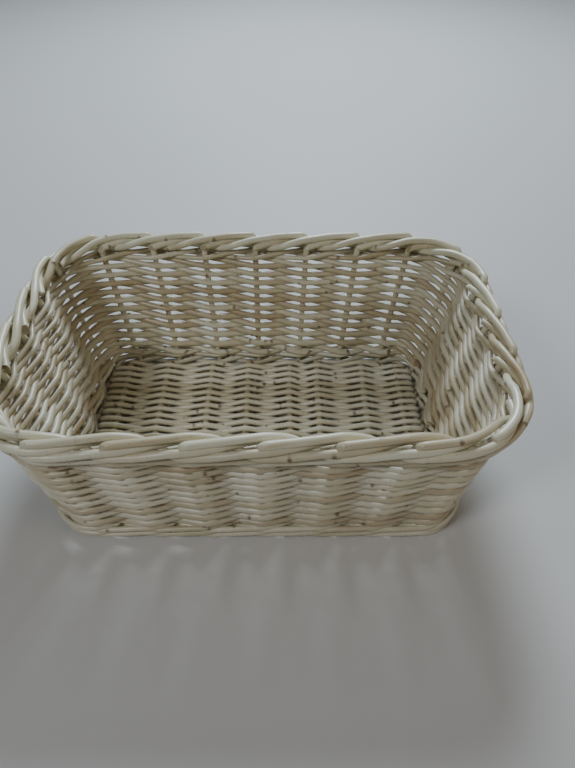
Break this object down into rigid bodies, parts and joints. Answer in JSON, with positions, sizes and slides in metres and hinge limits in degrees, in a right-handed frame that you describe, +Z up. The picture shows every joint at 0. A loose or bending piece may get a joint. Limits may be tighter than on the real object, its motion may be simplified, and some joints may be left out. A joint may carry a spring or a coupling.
{
  "type": "rectangular wicker basket",
  "caption": "Open rectangular basket woven from whole willow rods, with rounded corners, flared walls, a flat woven base and a rim plaited from the stakes' own tops.",
  "frame": {"origin": "middle of the footprint, on the surface that the basket stands on", "axes": "+X along the long side, +Y from the front to the back, +Z up"},
  "size_m": [0.3284, 0.2176, 0.1185],
  "materials": {
    "stake": "satin",
    "side_weaver": "satin",
    "wale": "satin",
    "base_stick": "satin",
    "base_weaver": "satin"
  },
  "bodies": {
    "root": {"base_stick_01": "base_stick", "base_stick_02": "base_stick", "base_stick_03": "base_stick", "base_stick_04": "base_stick", "base_stick_05": "base_stick", "base_stick_06": "base_stick", "base_stick_07": "base_stick", "base_stick_08": "base_stick", "base_weaver_01": "base_weaver", "base_weaver_02": "base_weaver", "foot_wale": "wale", "side_weaver_01": "side_weaver", "side_weaver_02": "side_weaver", "side_weaver_03": "side_weaver", "side_weaver_04": "side_weaver", "side_weaver_05": "side_weaver", "side_weaver_06": "side_weaver", "side_weaver_07": "side_weaver", "side_weaver_08": "side_weaver", "side_weaver_09": "side_weaver", "side_weaver_10": "side_weaver", "side_weaver_11": "side_weaver", "side_weaver_12": "side_weaver", "side_weaver_13": "side_weaver", "side_weaver_14": "side_weaver", "side_weaver_15": "side_weaver", "side_weaver_16": "side_weaver", "side_weaver_17": "side_weaver", "side_weaver_18": "side_weaver", "side_weaver_19": "side_weaver", "side_weaver_20": "side_weaver", "side_weaver_21": "side_weaver", "side_weaver_22": "side_weaver", "side_weaver_23": "side_weaver", "side_weaver_24": "side_weaver", "top_wale": "wale", "stake_01": "stake", "stake_02": "stake", "stake_03": "stake", "stake_04": "stake", "stake_05": "stake", "stake_06": "stake", "stake_07": "stake", "stake_08": "stake", "stake_09": "stake", "stake_10": "stake", "stake_11": "stake", "stake_12": "stake", "stake_13": "stake", "stake_14": "stake", "stake_15": "stake", "stake_16": "stake", "stake_17": "stake", "stake_18": "stake", "stake_19": "stake", "stake_20": "stake", "stake_21": "stake", "stake_22": "stake", "stake_23": "stake", "stake_24": "stake"}
  },
  "joints": []
}
